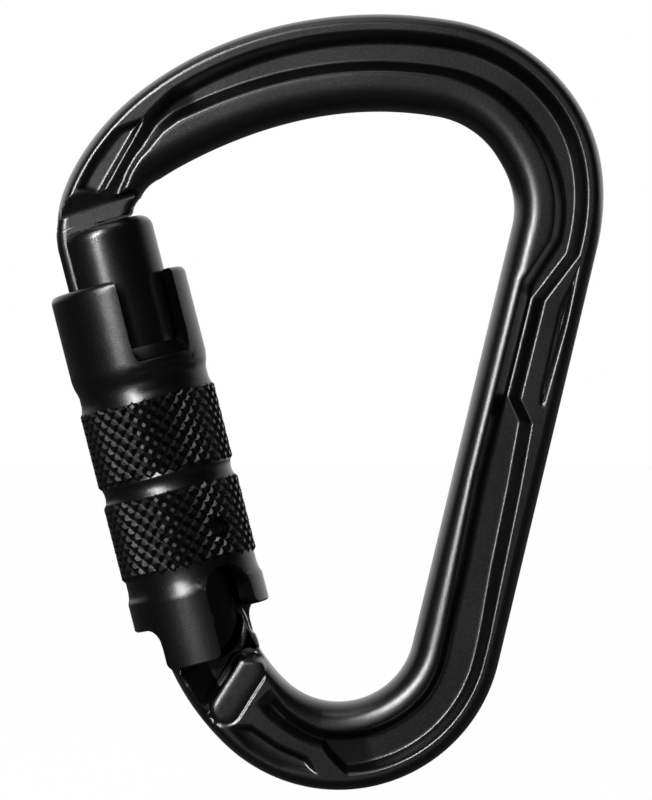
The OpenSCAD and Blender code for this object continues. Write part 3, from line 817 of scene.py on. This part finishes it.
def finish(name, dark, light, rough, metallic, grain_mm, grain):
    """A metal or plastic skin: fine grain in colour and height, and slow handling wear in roughness."""
    material = bpy.data.materials.new(name)
    material.use_nodes = True
    tree = material.node_tree
    tree.nodes.clear()
    coords = add(tree, "ShaderNodeTexCoord").outputs["Object"]
    fine = add(tree, "ShaderNodeTexNoise",
               {"Vector": coords, "Scale": 1 / (grain_mm * MM), "Detail": 3.0, "Roughness": 0.65})
    wear = add(tree, "ShaderNodeTexNoise",
               {"Vector": coords, "Scale": 1 / (WEAR_MM * MM), "Detail": 0.0, "Roughness": 0.5})
    tone = add(tree, "ShaderNodeMapRange", {"Value": fine.outputs["Fac"], "From Min": 0.3, "From Max": 0.7})
    # inputs 6 and 7 and output 2 are the Mix node's colours
    colour = add(tree, "ShaderNodeMix", {"Factor": tone.outputs["Result"], 6: linear(dark), 7: linear(light)},
                 data_type="RGBA")
    roughness = add(tree, "ShaderNodeMapRange",
                    {"Value": wear.outputs["Fac"], "From Min": 0.0, "From Max": 1.0,
                     "To Min": rough - WEAR_ROUGH, "To Max": rough + WEAR_ROUGH})
    relief = add(tree, "ShaderNodeBump",
                 {"Height": fine.outputs["Fac"], "Strength": grain, "Distance": GRAIN_RELIEF_MM * MM})
    shader = add(tree, "ShaderNodeBsdfPrincipled",
                 {"Base Color": colour.outputs[2], "Metallic": metallic,
                  "Roughness": roughness.outputs["Result"], "Normal": relief.outputs["Normal"]})
    add(tree, "ShaderNodeOutputMaterial", {"Surface": shader.outputs["BSDF"]})
    return material


# Aluminium, tumbled or blasted and then hard anodised black: a dark grey metal with a soft, wide
# sheen. Its real grain of a few hundredths of a millimetre is drawn coarser so that it shows.
body_black = finish("matt black anodised aluminium", "#393939", "#515151", 0.3, 1.0, 0.17, 0.8)
gate_black = finish("satin black anodised aluminium", "#3b3b3b", "#4f4f4f", 0.27, 1.0, 0.2, 0.6)
sleeve_black = finish("black anodised sleeve", "#323232", "#484848", 0.29, 1.0, 0.18, 0.8)
# Turned stainless steel: pale, with a fairly clear sheen.
steel = finish("stainless steel", "#9c9a95", "#c4c2bc", 0.28, 1.0, 0.3, 0.15)
# Drawn spring wire: a duller grey steel.
wire = finish("spring steel wire", "#6f6f6e", "#8e8e8c", 0.32, 1.0, 0.3, 0.1)
# Steel blackened in a salt bath: dark and slightly glossy.
pin_steel = finish("blackened steel pin", "#3c3c3c", "#565656", 0.3, 1.0, 0.2, 0.2)
# Moulded acetal: milky white plastic with a dull gloss.
acetal = finish("natural acetal", "#d8d6cd", "#e6e4dc", 0.45, 0.0, 0.5, 0.1)

for piece in (body, shell, *knurls):
    piece.data.materials.clear()
    piece.data.materials.append(body_black if piece is body else sleeve_black)
CAD_FINISH = {"gate_barrel": gate_black, "hinge_rivet": steel, "gate_plunger": steel,
              "guide_pin": pin_steel, "gate_spring": wire, "sleeve_spring": wire, "guide_bush": acetal}
for name, material in CAD_FINISH.items():
    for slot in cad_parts[name].material_slots:
        slot.material = material


# ---------------------------------------------------------------- floor and surroundings
FLOOR_HALF, FLOOR_Z = 3.0, -52.5 * MM               # 0.7 mm below the bar
SEEN_WHITE, GLOSSY_DARK = 0.985, 0.95
DARK = 0.03                                             # what glossy metal sees below and in front
BRIGHT_FROM = 0.6                                       # how far round to the back full white begins


def floor_material():
    """White to the eye, dark in reflections, and pale plaster where it takes the shadow."""
    material = bpy.data.materials.new("pale floor")
    material.use_nodes = True
    tree = material.node_tree
    tree.nodes.clear()
    path = add(tree, "ShaderNodeLightPath")
    seen = add(tree, "ShaderNodeMath", {0: path.outputs["Is Camera Ray"], 1: SEEN_WHITE},
               operation="MULTIPLY")
    glossy = add(tree, "ShaderNodeMath", {0: path.outputs["Is Glossy Ray"], 1: GLOSSY_DARK},
                 operation="MULTIPLY")
    plain = add(tree, "ShaderNodeBsdfDiffuse", {"Color": linear("#f4f4f4")})
    white = add(tree, "ShaderNodeEmission", {"Color": (1, 1, 1, 1), "Strength": 1.0})
    dark = add(tree, "ShaderNodeEmission", {"Color": (1, 1, 1, 1), "Strength": DARK})
    pale = add(tree, "ShaderNodeMixShader", {0: seen.outputs[0], 1: plain.outputs[0], 2: white.outputs[0]})
    surface = add(tree, "ShaderNodeMixShader", {0: glossy.outputs[0], 1: pale.outputs[0], 2: dark.outputs[0]})
    add(tree, "ShaderNodeOutputMaterial", {"Surface": surface.outputs[0]})
    return material


def build_world():
    """White where the camera looks; for the metal, bright behind the object and dim in front of it."""
    world = bpy.data.worlds.new("studio")
    world.use_nodes = True
    tree = world.node_tree
    tree.nodes.clear()
    path = add(tree, "ShaderNodeLightPath")
    direction = add(tree, "ShaderNodeTexCoord").outputs["Generated"]
    axes = add(tree, "ShaderNodeSeparateXYZ", {"Vector": direction})
    level = add(tree, "ShaderNodeMapRange",
                {"Value": axes.outputs["Y"], "From Min": 0.0, "From Max": BRIGHT_FROM,
                 "To Min": DARK, "To Max": 1.0})
    seen = add(tree, "ShaderNodeMath", {0: level.outputs[0], 1: path.outputs["Is Camera Ray"]},
               operation="MAXIMUM")
    back = add(tree, "ShaderNodeBackground", {"Color": (1, 1, 1, 1), "Strength": seen.outputs[0]})
    add(tree, "ShaderNodeOutputWorld", {"Surface": back.outputs[0]})
    bpy.context.scene.world = world


bm = bmesh.new()
bmesh.ops.create_grid(bm, x_segments=1, y_segments=1, size=FLOOR_HALF)
bmesh.ops.translate(bm, verts=bm.verts, vec=(0, 0, FLOOR_Z))
floor = finish_mesh("floor", bm)
floor.data.materials.append(floor_material())
build_world()


# ---------------------------------------------------------------- lights and camera, in metres
def area_light(name, place, size, watts):
    """A rectangular light that faces the middle of the part."""
    light = bpy.data.lights.new(name, "AREA")
    light.shape = "RECTANGLE"
    light.size, light.size_y = size
    light.energy = watts
    lamp = bpy.data.objects.new(name, light)
    bpy.context.scene.collection.objects.link(lamp)
    lamp.location = place
    lamp.rotation_euler = (-Vector(place)).to_track_quat("-Z", "Y").to_euler()


# a tall narrow key that draws the line down the gate and sleeve, and a weak light from above
area_light("key", (-0.29, -0.58, 0.25), (0.05, 0.5), 7.5)
area_light("top", (-0.1, -0.1, 0.7), (0.5, 0.3), 0.7)

CAMERA_FAR = 0.6
VIEW_CENTRE = (-0.1 * MM, 0.1 * MM)
VIEW_HIGH = 106.667 * MM
camera_data = bpy.data.cameras.new("camera")
camera = bpy.data.objects.new("camera", camera_data)
bpy.context.scene.collection.objects.link(camera)
camera.location = (VIEW_CENTRE[0], -CAMERA_FAR, VIEW_CENTRE[1])
camera.rotation_euler = (radians(90), 0, 0)
camera_data.lens = camera_data.sensor_width * CAMERA_FAR / VIEW_HIGH
camera_data.clip_start = 0.05
bpy.context.scene.camera = camera
bpy.context.scene.view_settings.view_transform = "Standard"
